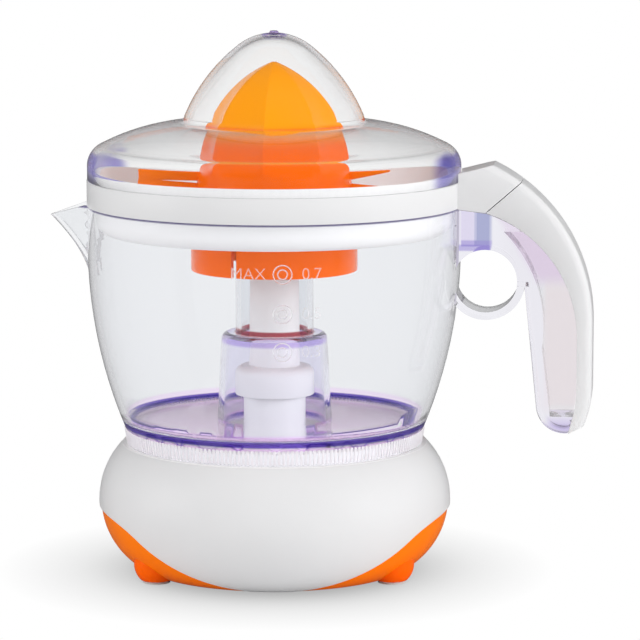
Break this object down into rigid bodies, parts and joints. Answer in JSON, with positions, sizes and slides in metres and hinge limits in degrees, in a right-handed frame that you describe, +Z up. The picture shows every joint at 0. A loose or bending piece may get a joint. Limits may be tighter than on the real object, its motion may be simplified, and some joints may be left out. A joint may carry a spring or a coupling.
{
  "type": "citrus press juicer",
  "caption": "Electric citrus press: geared motor base with ball feet, clear spouted jug with handle, slotted strainer, ridged reaming cone on a sprung drive spindle, and a clear domed lid.",
  "frame": {"origin": "on the table, on the spindle axis", "axes": "+Z up along the spindle axis, +X to the handle, -X to the spout, -Y to the graduated front"},
  "size_m": [0.2033, 0.1394, 0.2023],
  "materials": {
    "white_plastic": "moulded ABS, glossy",
    "orange_plastic": "moulded ABS, glossy",
    "clear_plastic": "clear styrene, violet at its edges",
    "pad_rubber": "matt",
    "gland_rubber": "matt",
    "seal_rubber": "matt",
    "plated_steel": "zinc plated",
    "bush_bronze": "sintered",
    "lamination_steel": "stacked sheets",
    "ferrite": "ground",
    "copper_wire": "enamelled",
    "bobbin_plastic": "moulded",
    "frame_plastic": "moulded",
    "switch_plastic": "moulded",
    "plunger_plastic": "moulded",
    "gear_plastic": "moulded acetal"
  },
  "bodies": {
    "base": {"base_shell": "white_plastic", "bottom_cover": "orange_plastic", "foot_pads": "pad_rubber", "cord_gland": "gland_rubber", "cover_screws": "plated_steel", "gear_plate": "frame_plastic", "plate_screws": "plated_steel", "stator_core": "lamination_steel", "bobbin_front": "bobbin_plastic", "bobbin_rear": "bobbin_plastic", "winding_front": "copper_wire", "winding_rear": "copper_wire", "motor_bracket": "plated_steel", "motor_screws": "plated_steel", "lower_rotor_bush": "bush_bronze", "upper_rotor_bush": "bush_bronze", "idler_axle": "plated_steel", "switch_body": "switch_plastic", "switch_screws": "plated_steel", "spindle_bush": "gear_plastic", "shaft_seal": "seal_rubber", "foot_front_left": "orange_plastic", "foot_front_right": "orange_plastic", "foot_rear_left": "orange_plastic", "foot_rear_right": "orange_plastic"},
    "rotor": {"rotor_magnet": "ferrite", "rotor_shaft": "plated_steel", "rotor_pinion": "bush_bronze"},
    "idler": {"idler_gear": "gear_plastic"},
    "output": {"output_gear": "gear_plastic", "return_spring": "plated_steel"},
    "spindle": {"spindle": "white_plastic"},
    "plunger": {"switch_plunger": "plunger_plastic"},
    "jug": {"jug": "clear_plastic", "handle_cover": "white_plastic"},
    "strainer": {"strainer": "white_plastic"},
    "cone": {"cone": "orange_plastic"},
    "lid": {"lid": "clear_plastic"}
  },
  "joints": [
    {"name": "output_spin", "type": "hinge", "parent": "base", "child": "output", "pos_m": [0, 0, 0], "axis": [0, 0, 1], "continuous": true},
    {"name": "idler_spin", "type": "hinge", "parent": "base", "child": "idler", "pos_m": [-0.00532, 0.03196, 0], "axis": [0, 0, 1], "continuous": true},
    {"name": "rotor_spin", "type": "hinge", "parent": "base", "child": "rotor", "pos_m": [0.018, 0.03, 0], "axis": [0, 0, 1], "continuous": true},
    {"name": "spindle_press", "type": "slide", "parent": "output", "child": "spindle", "axis": [0, 0, -1], "range_m": [0, 0.0025], "stiffness_N_per_m": 1500, "springref_m": -0.004, "deforming": ["return_spring"]},
    {"name": "plunger_press", "type": "slide", "parent": "base", "child": "plunger", "axis": [0, 0, -1], "range_m": [0, 0.0025]},
    {"name": "jug_lift", "type": "slide", "parent": "base", "child": "jug", "axis": [0, 0, 1], "range_m": [0, 0.13]},
    {"name": "cone_lift", "type": "slide", "parent": "spindle", "child": "cone", "axis": [0, 0, 1], "range_m": [0, 0.13]},
    {"name": "strainer_lift", "type": "slide", "parent": "jug", "child": "strainer", "axis": [0, 0, 1], "range_m": [0, 0.08]},
    {"name": "lid_lift", "type": "slide", "parent": "strainer", "child": "lid", "axis": [0, 0, 1], "range_m": [0, 0.07]}
  ],
  "couplings": [
    {"joint": "idler_spin", "follows": "output_spin", "ratio": -5},
    {"joint": "rotor_spin", "follows": "output_spin", "ratio": 27.5},
    {"joint": "plunger_press", "follows": "spindle_press", "ratio": 1},
    {"joint": "cone_lift", "follows": "jug_lift", "ratio": 1}
  ]
}
